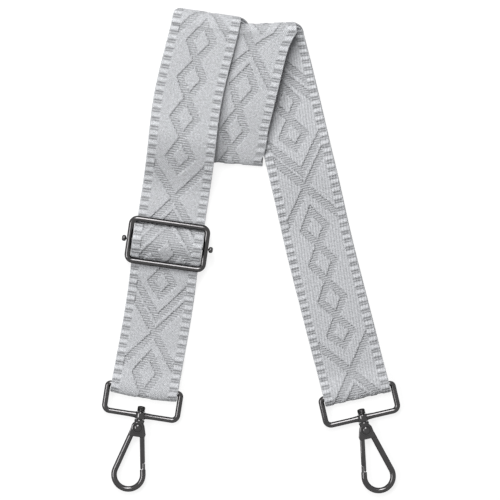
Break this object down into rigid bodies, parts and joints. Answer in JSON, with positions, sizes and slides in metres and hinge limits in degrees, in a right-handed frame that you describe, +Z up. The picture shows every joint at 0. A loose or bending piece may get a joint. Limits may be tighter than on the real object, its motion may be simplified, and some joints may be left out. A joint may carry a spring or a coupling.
{
  "type": "detachable bag strap",
  "caption": "Wide woven shoulder strap, laid in a folded coil, with a length slider and a swivel snap hook on a rectangular ring at each end.",
  "frame": {"origin": "centre of the underside of the box round the whole laid strap, on the table", "axes": "+Z up from the table, +Y from the hooks towards the coil, as up in the picture, +X to the right as seen from above"},
  "size_m": [0.1688, 0.2756, 0.0191],
  "materials": {
    "webbing": "light grey woven polyester webbing with a tone-on-tone raised pattern",
    "hardware": "black nickel plated metal, polished"
  },
  "bodies": {
    "strap": {"webbing_hook_a_loop": "webbing", "webbing_lower_leg": "webbing", "webbing_front_left_leg": "webbing", "webbing_front_coil": "webbing", "webbing_front_right_leg": "webbing", "webbing_hook_b_loop": "webbing", "webbing_back_right_leg": "webbing", "webbing_back_coil": "webbing", "webbing_back_left_leg": "webbing"},
    "slider": {"slider_frame": "hardware", "webbing_slider_arch": "webbing", "webbing_slider_wrap": "webbing"},
    "slider_bar": {"slider_bar": "hardware"},
    "ring_a": {"hook_a_ring": "hardware"},
    "hook_a": {"hook_a_body": "hardware", "hook_a_swivel_stud": "hardware", "hook_a_gate_pin": "hardware", "hook_a_gate_spring": "hardware"},
    "gate_a": {"hook_a_gate": "hardware"},
    "ring_b": {"hook_b_ring": "hardware"},
    "hook_b": {"hook_b_body": "hardware", "hook_b_swivel_stud": "hardware", "hook_b_gate_pin": "hardware", "hook_b_gate_spring": "hardware"},
    "gate_b": {"hook_b_gate": "hardware"}
  },
  "joints": [
    {"name": "slider_travel", "type": "slide", "parent": "strap", "child": "slider", "axis": [0.1391, 0.9903, 0], "range_m": [-0.014, 0.014], "deforming": ["webbing_lower_leg", "webbing_front_left_leg", "webbing_back_left_leg", "webbing_slider_arch", "webbing_slider_wrap"]},
    {"name": "slider_bar_turn", "type": "hinge", "parent": "slider", "child": "slider_bar", "pos_m": [-0.04728, 0.00337, 0.0064], "axis": [0.9903, -0.1391, 0], "continuous": true},
    {"name": "ring_a_swing", "type": "hinge", "parent": "strap", "child": "ring_a", "pos_m": [-0.06031, -0.07839, 0.00315], "axis": [0.9877, -0.1564, 0], "range_deg": [-120, 120]},
    {"name": "hook_a_swivel", "type": "hinge", "parent": "ring_a", "child": "hook_a", "pos_m": [-0.06272, -0.0936, 0.00315], "axis": [0.1564, 0.9877, 0], "continuous": true},
    {"name": "gate_a_hinge", "type": "hinge", "parent": "hook_a", "child": "gate_a", "pos_m": [-0.06413, -0.10056, 0.00315], "axis": [0, 0, -1], "range_deg": [0, 24], "stiffness_Nm_per_rad": 0.05, "springref_deg": -22.92, "deforming": ["hook_a_gate_spring"]},
    {"name": "ring_b_swing", "type": "hinge", "parent": "strap", "child": "ring_b", "pos_m": [0.05969, -0.08004, 0.00315], "axis": [-0.9744, -0.225, 0], "range_deg": [-120, 120]},
    {"name": "hook_b_swivel", "type": "hinge", "parent": "ring_b", "child": "hook_b", "pos_m": [0.06315, -0.09504, 0.00315], "axis": [-0.225, 0.9744, 0], "continuous": true},
    {"name": "gate_b_hinge", "type": "hinge", "parent": "hook_b", "child": "gate_b", "pos_m": [0.06504, -0.10189, 0.00315], "axis": [0, 0, 1], "range_deg": [0, 24], "stiffness_Nm_per_rad": 0.05, "springref_deg": -22.92, "deforming": ["hook_b_gate_spring"]}
  ]
}
